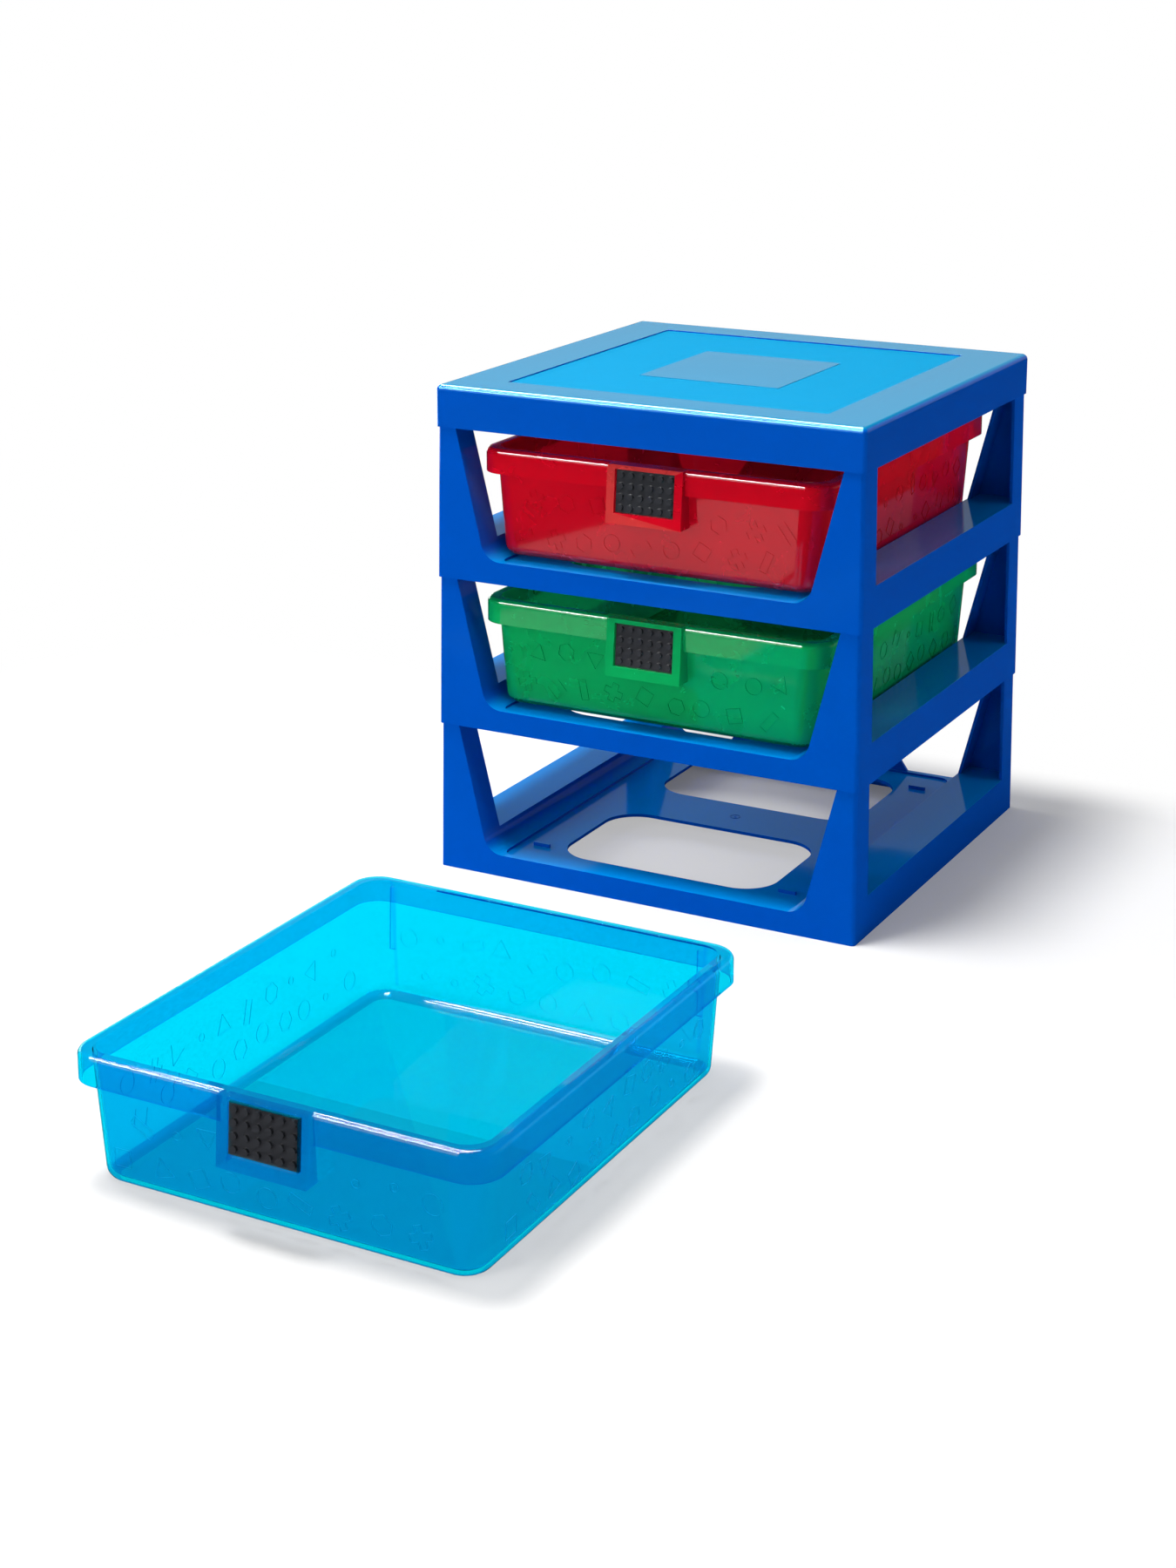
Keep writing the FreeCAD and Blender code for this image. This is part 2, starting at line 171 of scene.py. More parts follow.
# Lamps: place, aim, size, and whether the pieces mirror it
LAMPS = {
    "key": ((-0.36, -0.35, 2.5), (0.0, 0.0, 0.1), 0.7, True),
    "side": ((-2.2, 0.3, 0.9), (0.0, 0.15, 0.1), 1.2, False),
    "right": ((2.6, 1.2, 0.9), (0.17, 0.17, 0.2), 1.0, False),
    "front": ((-1.2, -2.8, 1.3), (0.0, 0.0, 0.2), 1.4, True),
}
CAMERA_PLACE = (0.8429, -1.6526, 0.7448)
CAMERA_DOWN = 13.48
CAMERA_TURN = 28.212
CAMERA_SENSOR = 36.0
CAMERA_LENS = 60.68
CAMERA_SHIFT = -0.1722


# Sizes and colours that a user would change

def length(name, default, description):
    return FloatProperty(name=name, description=description, default=default, min=0.0, subtype="DISTANCE",
                         unit="LENGTH", precision=5)


def amount(name, default, description, top=1.0):
    return FloatProperty(name=name, description=description, default=default, min=0.0, max=top)


def colour(name, default, description):
    return FloatVectorProperty(name=name, description=description, default=default, size=3, min=0.0, max=1.0,
                               subtype="COLOR")


class RackSettings(bpy.types.PropertyGroup):
    """The tiers and the cover"""
    blue: colour("Rack blue", (0.0, 0.08, 0.5), "Colour of the opaque rack plastic")
    # Painted light from above: the ledge and cover top tones are lighter blues for faces that look up
    painted_tier_top_light: colour("Ledge blue", (0.0, 0.22, 0.66), "Colour of the tiers' faces that look up")
    painted_cover_top_light: colour("Cover top blue", (0.0, 0.26, 0.5), "Colour of the cover's upper face")
    # Painted light from above: the satin panel only looks up and takes a lighter blue like the cover top
    painted_panel_top_light: colour("Panel blue", (0.0, 0.255, 0.49), "Colour of the cover's satin panel")
    edge: length("Edge radius", 0.6 * MM, "Rounding of the moulded edges")
    gloss: amount("Roughness", 0.06, "Roughness of the polished faces")
    sheen: colour("Tier sheen", (0.06, 0.7, 1.0), "Tint of what the tiers mirror")
    top_sheen: colour("Cover sheen", (0.28, 0.85, 1.0), "Tint of what the cover mirrors")
    satin: amount("Panel roughness", 0.55, "Roughness of the cover's sunk panel")
    square_width: length("Square width", 115 * MM, "Width of the polished square on the cover")
    square_depth: length("Square depth", 118 * MM, "Depth of the polished square on the cover")
    square_height: length("Square height", 0.4 * MM, "How far the polished square stands up")


class DrawerSettings(bpy.types.PropertyGroup):
    """The tubs and their stud plates"""
    red: colour("Red tint", (0.82, 0.003, 0.022), "What one red wall lets through")
    green: colour("Green tint", (0.004, 0.53, 0.15), "What one green wall lets through")
    blue: colour("Blue tint", (0.0, 0.65, 0.89), "What one blue wall lets through")
    # Painted shade: the floor tints are deeper than the wall tints, in place of the tinted light that falls
    # under each tub
    red_floor: colour("Red floor tint", (0.42, 0.002, 0.012), "What the red tub's floor lets through")
    green_floor: colour("Green floor tint", (0.0, 0.22, 0.03), "What the green tub's floor lets through")
    blue_floor: colour("Blue floor tint", (0.0, 0.43, 0.8), "What the blue tub's floor lets through")
    edge: length("Edge radius", 0.5 * MM, "Rounding of the tub's small edges")
    rim_edge: length("Rim radius", 2.2 * MM, "Rounding of the rim's upper edges")
    red_haze: amount("Red haze", 0.25, "How far the red plastic blurs what is behind it")
    green_haze: amount("Green haze", 0.25, "How far the green plastic blurs what is behind it")
    blue_haze: amount("Blue haze", 0.05, "How far the blue plastic blurs what is behind it")
    red_clear: amount("Red clearness", 0.4, "How clear the red plastic is")
    green_clear: amount("Green clearness", 0.4, "How clear the green plastic is")
    blue_clear: amount("Blue clearness", 1.0, "How clear the blue plastic is")
    red_skin: amount("Red skin", 1.0, "How much the red plastic's polished skin mirrors")
    green_skin: amount("Green skin", 1.0, "How much the green plastic's polished skin mirrors")
    blue_skin: amount("Blue skin", 0.5, "How much the blue plastic's polished skin mirrors")
    shade: colour("Shade", (0.66, 0.68, 0.7), "What one face lets through to light the floor")
    bending: FloatProperty(name="Bending", description="Refractive index of the thin walls", default=1.03,
                           min=1.0)
    # The outline tones also paint the rim's lower edge: a painted highlight line on red, painted shade on
    # green and blue
    red_line: colour("Red outline tint", (0.8, 0.06, 0.06), "Tone of the red outlines and ribs")
    green_line: colour("Green outline tint", (0.0, 0.2, 0.06), "Tone of the green outlines and ribs")
    blue_line: colour("Blue outline tint", (0.0, 0.5, 0.9), "Tone of the blue outlines and ribs")
    line: length("Relief line", 0.9 * MM, "Width of the raised outlines on the walls")
    relief: length("Relief height", 0.35 * MM, "How far the outlines stand out")
    stud_black: colour("Stud black", (0.03, 0.032, 0.038), "Colour of the stud plates")
    stud_edge: length("Stud edge", 0.25 * MM, "Rounding of the studs' edges")


class StageSettings(bpy.types.PropertyGroup):
    """The studio"""
    floor: colour("Floor", (0.8, 0.8, 0.8), "Colour of the pale floor")
    key: amount("Key light", 60.0, "Power of the overhead lamp in watts", 500.0)
    front: amount("Front light", 24.0, "Power of the lamp before the rack in watts", 500.0)
    side: amount("Side light", 24.0, "Power of the lamp on the left in watts", 500.0)
    right: amount("Right light", 15.0, "Power of the lamp behind the rack's right side in watts", 500.0)
    ambient: amount("Ambient", 0.5, "Level of the light from all round", 5.0)
    glint: amount("Glint", 60.0, "Level of the strips that the edges mirror", 200.0)


def settings():
    scene = bpy.context.scene
    return scene.drawer_rack_rack, scene.drawer_rack_drawer, scene.drawer_rack_stage


# Mesh helpers

def finished(name, bm, body, *materials):
    """Turns a bmesh into a smooth-shaded piece that rides on a body."""
    for face in bm.faces:
        face.smooth = True
    for edge in bm.edges:
        edge.smooth = edge.calc_face_angle(0.0) < math.radians(SHARP_ANGLE)
    mesh = bpy.data.meshes.new(name)
    bm.to_mesh(mesh)
    bm.free()
    for material in materials:
        mesh.materials.append(material)
    piece = bpy.data.objects.new(name, mesh)
    bpy.context.scene.collection.objects.link(piece)
    shading = piece.modifiers.new("even_shading", "WEIGHTED_NORMAL")
    shading.keep_sharp = True
    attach(piece, body)
    return piece


def merged_copy(node):
    """The node's shape as one closed mesh with flat faces joined."""
    bm = bmesh.new()
    bm.from_mesh(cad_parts[node].data)
    bmesh.ops.remove_doubles(bm, verts=bm.verts, dist=WELD)
    bmesh.ops.dissolve_limit(bm, angle_limit=math.radians(FLAT_ANGLE), verts=bm.verts, edges=bm.edges)
    return bm


def bevel(bm, edges, radius, segments=2):
    bmesh.ops.bevel(bm, geom=edges, offset=radius, offset_type="OFFSET", affect="EDGES", segments=segments,
                    profile=0.5, material=-1, clamp_overlap=True)


def round_edges(bm, radius, segments=2, chosen=None):
    """Rounds the sharp edges, or those of them that a test on both end points picks."""
    edges = [edge for edge in bm.edges if edge.calc_face_angle(0.0) > math.radians(SHARP_ANGLE)]
    if chosen is not None:
        edges = [edge for edge in edges if all(chosen(vert.co) for vert in edge.verts)]
    bevel(bm, edges, radius, segments)


def plate(bm, centre, size, edge):
    """A flat plate with rounded edges."""
    made = bmesh.ops.create_cube(bm, size=1.0)["verts"]
    bmesh.ops.scale(bm, vec=size, verts=made)
    bmesh.ops.translate(bm, vec=centre, verts=made)
    bevel(bm, [line for line in bm.edges if line.verts[0] in made], edge)


def regular(sides, radius):
    """Corners of a regular outline, flat side down."""
    first = math.pi / sides - math.pi / 2
    angles = [first + 2 * math.pi * i / sides for i in range(sides)]
    return [(radius * math.cos(angle), radius * math.sin(angle)) for angle in angles]


def cross(reach, arm):
    """Corners of a plus sign."""
    quarter = [(reach, -arm), (reach, arm), (arm, arm)]
    turned = []
    for _ in range(4):
        turned += quarter
        quarter = [(-y, x) for x, y in quarter]
    return turned


def slab(width, height):
    """Corners of an oblong, from half its sides."""
    return [(-width, -height), (width, -height), (width, height), (-width, height)]


MOTIFS = (
    regular(20, 6.5 * MM),
    regular(3, 8.0 * MM),
    regular(4, 8.0 * MM),
    regular(6, 7.0 * MM),
    cross(7.5 * MM, 2.6 * MM),
    slab(8.0 * MM, 3.0 * MM),
    regular(20, 2.6 * MM),
)


def raised_outline(bm, corners, line, height, place):
    """A thin raised line round an outline, set on a wall by a matrix."""
    old = set(bm.verts)
    inner = bm.faces.new([bm.verts.new((x, y, -SUNK)) for x, y in corners])
    ring = bmesh.ops.inset_region(bm, faces=[inner], thickness=line, use_even_offset=True,
                                  use_boundary=True)["faces"]
    bmesh.ops.delete(bm, geom=[inner], context="FACES_ONLY")
    top = bmesh.ops.extrude_face_region(bm, geom=ring, use_keep_orig=True)["geom"]
    lifted = [item for item in top if isinstance(item, bmesh.types.BMVert)]
    bmesh.ops.translate(bm, vec=(0.0, 0.0, height + SUNK), verts=lifted)
    made = [vert for vert in bm.verts if vert not in old]
    bmesh.ops.transform(bm, matrix=place, verts=made)


def raised_disc(bm, radius, height, place):
    """A low round boss, set on a face by a matrix."""
    made = bmesh.ops.create_cone(bm, cap_ends=True, segments=PIP_SIDES, radius1=radius,
                                 radius2=PIP_TAPER * radius, depth=height + SUNK)["verts"]
    bmesh.ops.translate(bm, vec=(0.0, 0.0, (height - SUNK) / 2), verts=made)
    bmesh.ops.transform(bm, matrix=place, verts=made)


# Material helpers

def new_material(name):
    material = bpy.data.materials.new(name)
    material.use_nodes = True
    material.node_tree.nodes.clear()
    return material, material.node_tree


def add(tree, kind, values=None, **options):
    """A node with its options and its plain input values set."""
    node = tree.nodes.new(kind)
    for name, value in options.items():
        setattr(node, name, value)
    for name, value in (values or {}).items():
        node.inputs[name].default_value = value
    return node


def rgba(value):
    return (*value, 1.0)


def ray_mask(tree, *kinds):
    """1 for the kinds of ray that are named, 0 for the rest."""
    path = add(tree, "ShaderNodeLightPath")
    mask = path.outputs[kinds[0]]
    for kind in kinds[1:]:
        either = add(tree, "ShaderNodeMath", operation="MAXIMUM")
        tree.links.new(mask, either.inputs[0])
        tree.links.new(path.outputs[kind], either.inputs[1])
        mask = either.outputs[0]
    return mask


def mirror_mask(tree):
    """1 for rays that were mirrored, 0 for the rest, those that went through a clear wall too."""
    path = add(tree, "ShaderNodeLightPath")
    mask = add(tree, "ShaderNodeMath", operation="SUBTRACT", use_clamp=True)
    tree.links.new(path.outputs["Is Glossy Ray"], mask.inputs[0])
    tree.links.new(path.outputs["Is Transmission Ray"], mask.inputs[1])
    return mask.outputs[0]


def ramp(tree, value, start, end, low, high):
    """A smooth step of a value between two places."""
    ends = {"From Min": start, "From Max": end, "To Min": low, "To Max": high}
    step = add(tree, "ShaderNodeMapRange", ends, interpolation_type="SMOOTHSTEP")
    tree.links.new(value, step.inputs["Value"])
    return step.outputs["Result"]


def blended(tree, mask, first, second):
    mix = add(tree, "ShaderNodeMixShader")
    tree.links.new(mask, mix.inputs["Fac"])
    tree.links.new(first, mix.inputs[1])
    tree.links.new(second, mix.inputs[2])
    return mix.outputs["Shader"]


def moulded_group():
    """Shared look of moulded plastic: slow drifts in tone and gloss, and a fine grain."""
    name = "moulded_plastic"
    if name in bpy.data.node_groups:
        return bpy.data.node_groups[name]
    group = bpy.data.node_groups.new(name, "ShaderNodeTree")
    face = group.interface
    face.new_socket("Color", in_out="INPUT", socket_type="NodeSocketColor")
    for label in ("Tone Drift", "Roughness", "Gloss Drift", "Grain Size"):
        face.new_socket(label, in_out="INPUT", socket_type="NodeSocketFloat")
    face.new_socket("Color", in_out="OUTPUT", socket_type="NodeSocketColor")
    face.new_socket("Roughness", in_out="OUTPUT", socket_type="NodeSocketFloat")
    face.new_socket("Height", in_out="OUTPUT", socket_type="NodeSocketFloat")
    link = group.links.new
    given = add(group, "NodeGroupInput")
    made = add(group, "NodeGroupOutput")
    where = add(group, "ShaderNodeTexCoord")
    flow = add(group, "ShaderNodeTexNoise", FLOW)
    link(where.outputs["Object"], flow.inputs["Vector"])
    drift = add(group, "ShaderNodeMath", operation="MULTIPLY_ADD")
    link(flow.outputs["Fac"], drift.inputs[0])
    link(given.outputs["Tone Drift"], drift.inputs[1])
    lighter = add(group, "ShaderNodeHueSaturation")
    link(given.outputs["Color"], lighter.inputs["Color"])
    base = add(group, "ShaderNodeMath", {0: 1.0}, operation="SUBTRACT")
    half = add(group, "ShaderNodeMath", {1: 0.5}, operation="MULTIPLY")
    link(given.outputs["Tone Drift"], half.inputs[0])
    link(half.outputs[0], base.inputs[1])
    link(base.outputs[0], drift.inputs[2])
    link(drift.outputs[0], lighter.inputs["Value"])
    link(lighter.outputs["Color"], made.inputs["Color"])
    smear = add(group, "ShaderNodeTexNoise", SMEAR)
    link(where.outputs["Object"], smear.inputs["Vector"])
    rough = add(group, "ShaderNodeMath", operation="MULTIPLY_ADD", use_clamp=True)
    link(smear.outputs["Fac"], rough.inputs[0])
    link(given.outputs["Gloss Drift"], rough.inputs[1])
    link(given.outputs["Roughness"], rough.inputs[2])
    link(rough.outputs[0], made.inputs["Roughness"])
    grain = add(group, "ShaderNodeTexNoise", GRAIN)
    link(where.outputs["Object"], grain.inputs["Vector"])
    link(given.outputs["Grain Size"], grain.inputs["Scale"])
    link(grain.outputs["Fac"], made.inputs["Height"])
    return group


def moulded(tree, tint, tone_drift, roughness, grain_size):
    """The shared look with its values set."""
    values = {"Color": rgba(tint), "Tone Drift": tone_drift, "Roughness": roughness,
              "Gloss Drift": GLOSS_DRIFT, "Grain Size": grain_size}
    return add(tree, "ShaderNodeGroup", values, node_tree=moulded_group())


def opaque_plastic(name, tint, roughness, shine, sheen, grain=OPAQUE_GRAIN, grain_size=OPAQUE_GRAIN_SIZE,
                   upper=None):
    """Opaque moulded plastic with a faint grain. Where an upper tone is given, faces that look up blend to
    it as painted light from above.
    """
    material, tree = new_material(name)
    link = tree.links.new
    look = moulded(tree, tint, OPAQUE_DRIFT, roughness, grain_size)
    bump = add(tree, "ShaderNodeBump", {"Strength": grain, "Distance": GRAIN_DEPTH})
    link(look.outputs["Height"], bump.inputs["Height"])
    shader = add(tree, "ShaderNodeBsdfPrincipled", {"Specular IOR Level": shine, "IOR": OPAQUE_BENDING,
                                                    "Specular Tint": rgba(sheen)})
    tone = look.outputs["Color"]
    # Painted light from above: faces that look up blend to the lighter upper tone
    if upper is not None:
        facing = add(tree, "ShaderNodeNewGeometry")
        up = add(tree, "ShaderNodeSeparateXYZ")
        link(facing.outputs["Normal"], up.inputs[0])
        shift = add(tree, "ShaderNodeMix", {"B": rgba(upper)}, data_type="RGBA")
        link(ramp(tree, up.outputs["Z"], *PAINTED_TOP_LIGHT_FADE), shift.inputs["Factor"])
        link(tone, shift.inputs["A"])
        tone = shift.outputs["Result"]
    link(tone, shader.inputs["Base Color"])
    link(look.outputs["Roughness"], shader.inputs["Roughness"])
    link(bump.outputs["Normal"], shader.inputs["Normal"])
    out = add(tree, "ShaderNodeOutputMaterial")
    link(shader.outputs["BSDF"], out.inputs["Surface"])
    return material


def clear_plastic(name, drawer, tub, tint):
    """Clear tinted plastic in thin walls, with a polished skin, that lets the lamps shine through."""
    clearness, haze, skin = [getattr(drawer, tub + part) for part in ("_clear", "_haze", "_skin")]
    material, tree = new_material(name)
    link = tree.links.new
    look = moulded(tree, tint, CLEAR_DRIFT, haze, CLEAR_GRAIN_SIZE)
    bump = add(tree, "ShaderNodeBump", {"Strength": CLEAR_GRAIN, "Distance": GRAIN_DEPTH})
    link(look.outputs["Height"], bump.inputs["Height"])
    values = {"IOR": drawer.bending, "Transmission Weight": clearness, "Coat Weight": skin,
              "Coat Roughness": SKIN_ROUGHNESS, "Coat IOR": SKIN_BENDING}
    shader = add(tree, "ShaderNodeBsdfPrincipled", values)
    link(look.outputs["Color"], shader.inputs["Base Color"])
    link(look.outputs["Roughness"], shader.inputs["Roughness"])
    link(bump.outputs["Normal"], shader.inputs["Normal"])
    through = add(tree, "ShaderNodeBsdfTransparent", {"Color": rgba(drawer.shade)})
    out = add(tree, "ShaderNodeOutputMaterial")
    lit = ray_mask(tree, "Is Shadow Ray", "Is Diffuse Ray")
    link(blended(tree, lit, shader.outputs["BSDF"], through.outputs["BSDF"]), out.inputs["Surface"])
    return material


# Pieces

class RACK_OT_tiers(bpy.types.Operator):
    """Rounds the edges of the three tiers and gives them the rack's plastic"""
    bl_idname = "drawer_rack.tiers"
    bl_label = "Tiers"

    def execute(self, context):
        rack, _, _ = settings()
        # The tiers' faces that look up get the painted top light
        material = opaque_plastic("rack_blue", rack.blue, rack.gloss, TIER_SHINE, rack.sheen,
                                  upper=rack.painted_tier_top_light)
        for node in TIERS:
            bm = merged_copy(node)
            round_edges(bm, rack.edge)
            piece = finished(node + "_moulding", bm, "rack", material)
            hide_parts(node)
            low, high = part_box(node)
            gate = Matrix.Translation(((low[0] + high[0]) / 2, (low[1] + high[1]) / 2, low[2] + TRAY_FLOOR))
            bm = bmesh.new()
            raised_outline(bm, regular(GATE_SIDES, GATE_RADIUS), GATE_LINE, GATE_HEIGHT, gate)
            raised_disc(bm, PIP_RADIUS, PIP_HEIGHT, gate)
            finished(node + "_gate_mark", bm, "rack", material)
        return {"FINISHED"}


class RACK_OT_cover(bpy.types.Operator):
    """Rounds the cover's edges, with a satin panel and a polished square on it"""
    bl_idname = "drawer_rack.cover"
    bl_label = "Cover"

    def execute(self, context):
        rack, _, _ = settings()
        # The cover's top gets the painted top light
        shell = opaque_plastic("cover_blue", rack.blue, rack.gloss, COVER_SHINE, rack.top_sheen,
                               upper=rack.painted_cover_top_light)
        # The satin panel's lighter blue is painted light from above
        satin = opaque_plastic("panel_satin", rack.painted_panel_top_light, rack.satin, PANEL_SHINE, rack.top_sheen,
                               PANEL_GRAIN, PANEL_GRAIN_SIZE)
        low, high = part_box("top_cover")
        level = high[2] - PANEL_RECESS
        bm = merged_copy("top_cover")
        round_edges(bm, rack.edge / 2)
        for face in bm.faces:
            sunk = abs(face.calc_center_median().z - level) < SUNK and face.normal.z > LEVEL_FACE
            face.material_index = 1 if sunk else 0
        piece = finished("top_cover_moulding", bm, "rack", shell, satin)
        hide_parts("top_cover")
        # The polished square is tinted with the painted top light
        polished = opaque_plastic("square_polish", rack.painted_cover_top_light, rack.gloss, SQUARE_SHINE, rack.top_sheen)
        bm = bmesh.new()
        size = (rack.square_width, rack.square_depth, rack.square_height + SUNK)
        middle = ((low[0] + high[0]) / 2, (low[1] + high[1]) / 2, level + (rack.square_height - SUNK) / 2)
        plate(bm, middle, size, rack.square_height / 3)
        finished("polished_square", bm, "rack", polished)
        return {"FINISHED"}


def wall_places(node):
    """For each wall of a tub: a matrix to its outer face's middle, and half its length."""
    low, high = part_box(node)
    half_width = (high[0] - low[0]) / 2
    half_depth = (high[1] - low[1] - GRIP_PROUD) / 2
    middle = ((low[0] + high[0]) / 2, high[1] - half_depth, low[2])
    level = (RIM_BOTTOM + TUB_FLOOR) / 2
    drop = 1.0 - level / TUB_HEIGHT
    ends = half_depth - END_WALL_STEP - END_WALL_DRAFT * drop
    sides = half_width - SIDE_WALL_STEP - SIDE_WALL_DRAFT * drop
    places = {}
    for turn, name in enumerate(("front", "right", "back", "left")):
        if turn % 2 == 0:
            out, along, draft = ends, sides, END_WALL_DRAFT
        else:
            out, along, draft = sides, ends, SIDE_WALL_DRAFT
        lean = math.atan(draft / TUB_HEIGHT)
        place = Matrix.Translation(middle) @ Matrix.Rotation(turn * math.pi / 2, 4, "Z")
        place = place @ Matrix.Translation((0.0, -out, level)) @ Matrix.Rotation(math.pi / 2 + lean, 4, "X")
        places[name] = (place, along)
    return places


def wall_motifs(bm, place, along, grip, draw, drawer):
    """Scatters plain outlines in two rows over a wall, clear of the grip."""
    columns = int(2 * (along - WALL_END_ROOM) / MOTIF_PITCH)
    for row, height in enumerate(MOTIF_ROWS):
        for column in range(columns):
            step = column - (columns - 1) / 2 + 0.5 * row - 0.25
            across = step * MOTIF_PITCH + draw.uniform(-MOTIF_STRAY, MOTIF_STRAY)
            up = height + draw.uniform(-MOTIF_STRAY, MOTIF_STRAY)
            shape = MOTIFS[draw.randrange(len(MOTIFS))]
            turn = draw.uniform(0.0, 2.0 * math.pi)
            if grip and row == 1 and abs(across) < GRIP_HALF_WIDTH + GRIP_ROOM:
                continue
            spot = place @ Matrix.Translation((across, up, 0.0)) @ Matrix.Rotation(turn, 4, "Z")
            raised_outline(bm, shape, drawer.line, drawer.relief, spot)


def on_floor(face, low):
    """True on the flat floor of a tub that stands at a level."""
    return face.calc_center_median().z < low[2] + FLOOR_BAND and abs(face.normal.z) > FLOOR_SLOPE


def on_rim_foot(spot, low):
    """True on the lower edge of the turned-down rim of a tub that stands at a level."""
    return abs(spot.z - low[2] - RIM_BOTTOM) < RIM_FOOT_BAND


def on_rib(spot, low, high):
    """True on the two ribs inside the back wall of a tub that fills a box."""
    across = abs(spot.x - (low[0] + high[0]) / 2) - RIB_PLACE
    return abs(across) < RIB_REACH and spot.y > high[1] - RIB_BAND and spot.z > low[2] + RIB_FOOT


class RACK_OT_drawers(bpy.types.Operator):
    """Makes the three clear tubs, with plain outlines on their walls"""
    bl_idname = "drawer_rack.drawers"
    bl_label = "Drawers"

    def execute(self, context):
        _, drawer, _ = settings()
        draw = random.Random(MOTIF_SEED)
        for name in DRAWERS:
            material = clear_plastic(name + "_wall", drawer, name, getattr(drawer, name))
            tone = getattr(drawer, name + "_line")
            line = clear_plastic(name + "_outline", drawer, name, tone)
            # The floor material's deeper tint is painted shade
            base = clear_plastic(name + "_base", drawer, name, getattr(drawer, name + "_floor"))
            node = name + "_drawer"
            bm = merged_copy(node)
            low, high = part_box(node)
            round_edges(bm, drawer.rim_edge, RIM_SEGMENTS, lambda spot: spot.z > high[2] - SUNK)
            round_edges(bm, drawer.edge)
            for face in bm.faces:
                spot = face.calc_center_median()
                # Ribs take the outline tone; the rim's lower edge takes it too, as a painted line at the
                # step: a painted highlight on red, painted shade on green and blue
                if on_rib(spot, low, high) or on_rim_foot(spot, low):
                    face.material_index = 1
                # The tub's floor takes the deeper floor tint, painted shade
                elif on_floor(face, low):
                    face.material_index = 2
            piece = finished(node + "_tub", bm, node, material, line, base)
            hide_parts(node)
            bm = bmesh.new()
            for wall, (place, along) in wall_places(node).items():
                wall_motifs(bm, place, along, wall == "front", draw, drawer)
            bmesh.ops.recalc_face_normals(bm, faces=bm.faces)
            frost = opaque_plastic(name + "_frost", tone, FROST_ROUGHNESS, FROST_SHINE, WHITE)
            finished(node + "_reliefs", bm, node, frost)
        return {"FINISHED"}


class RACK_OT_stud_plates(bpy.types.Operator):
    """Makes the black stud plates in the grips"""
    bl_idname = "drawer_rack.stud_plates"
    bl_label = "Stud plates"

    def execute(self, context):
        _, drawer, _ = settings()
        material = opaque_plastic("stud_black", drawer.stud_black, STUD_ROUGHNESS, STUD_SHINE, WHITE)
        for name in DRAWERS:
            node = name + "_stud_plate"
            bm = merged_copy(node)
            round_edges(bm, drawer.stud_edge)
            piece = finished(node + "_moulding", bm, name + "_drawer", material)
            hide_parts(node)
        return {"FINISHED"}


# Stage

def floor_material(tint):
    """A pale floor with shadows near the object, lifted there by a painted white glow, plain white further
    off and dim in reflections.
    """
    material, tree = new_material("studio_floor")
    link = tree.links.new
    matt = add(tree, "ShaderNodeBsdfDiffuse", {"Color": rgba(tint)})
    white = add(tree, "ShaderNodeEmission", {"Color": rgba(WHITE), "Strength": 1.0})
    where = add(tree, "ShaderNodeTexCoord")
    centred = add(tree, "ShaderNodeVectorMath", {1: FLOOR_MIDDLE}, operation="DISTANCE")
    link(where.outputs["Object"], centred.inputs[0])
    share = ramp(tree, centred.outputs["Value"], *FLOOR_FADE)
    under = add(tree, "ShaderNodeVectorMath", {1: UNDER_RACK}, operation="DISTANCE")
    link(where.outputs["Object"], under.inputs[0])
    place = add(tree, "ShaderNodeSeparateXYZ")
    link(where.outputs["Object"], place.inputs[0])
    # Painted light: the glow rises under the rack, behind it and before the blue tub
    for pale in (ramp(tree, under.outputs["Value"], *UNDER_RACK_PAINTED_LIGHT),
                 ramp(tree, place.outputs["Y"], *BEHIND_RACK_PAINTED_LIGHT),
                 ramp(tree, place.outputs["Y"], *BEFORE_TUB_PAINTED_LIGHT)):
        most = add(tree, "ShaderNodeMath", operation="MAXIMUM")
        link(share, most.inputs[0])
        link(pale, most.inputs[1])
        share = most.outputs[0]
    direct = add(tree, "ShaderNodeMath", operation="MULTIPLY")
    link(share, direct.inputs[0])
    link(ray_mask(tree, "Is Camera Ray", "Is Transmission Ray"), direct.inputs[1])
    # Painted light: the floor seen through the clear walls glows half white
    through = add(tree, "ShaderNodeMath", {1: THROUGH_WALL_PAINTED_LIGHT}, operation="MULTIPLY")
    link(ray_mask(tree, "Is Transmission Ray"), through.inputs[0])
    seen = add(tree, "ShaderNodeMath", operation="MAXIMUM")
    link(direct.outputs[0], seen.inputs[0])
    link(through.outputs[0], seen.inputs[1])
    lit = blended(tree, seen.outputs[0], matt.outputs["BSDF"], white.outputs["Emission"])
    dim = add(tree, "ShaderNodeBsdfDiffuse", {"Color": rgba([MIRRORED_FLOOR * c for c in tint])})
    out = add(tree, "ShaderNodeOutputMaterial")
    link(blended(tree, mirror_mask(tree), lit, dim.outputs["BSDF"]), out.inputs["Surface"])
    return material


def card_material():
    """White for what mirrors it from far, so that the near drawer stays clear of it."""
    material, tree = new_material("white_card")
    white = add(tree, "ShaderNodeEmission", {"Color": rgba(WHITE)})
    path = add(tree, "ShaderNodeLightPath")
    tree.links.new(ramp(tree, path.outputs["Ray Length"], *CARD_FADE), white.inputs["Strength"])
    out = add(tree, "ShaderNodeOutputMaterial")
    tree.links.new(white.outputs["Emission"], out.inputs["Surface"])
    return material


def glint_material(name, strength):
    material, tree = new_material(name)
    white = add(tree, "ShaderNodeEmission", {"Color": rgba(WHITE), "Strength": strength})
    out = add(tree, "ShaderNodeOutputMaterial")
    tree.links.new(white.outputs["Emission"], out.inputs["Surface"])
    return material


def level_corners(middle, size):
    """Corners of a level oblong."""
    x, y, z = middle
    return [(x + across * size[0] / 2, y + along * size[1] / 2, z)
            for across, along in ((-1, -1), (1, -1), (1, 1), (-1, 1))]


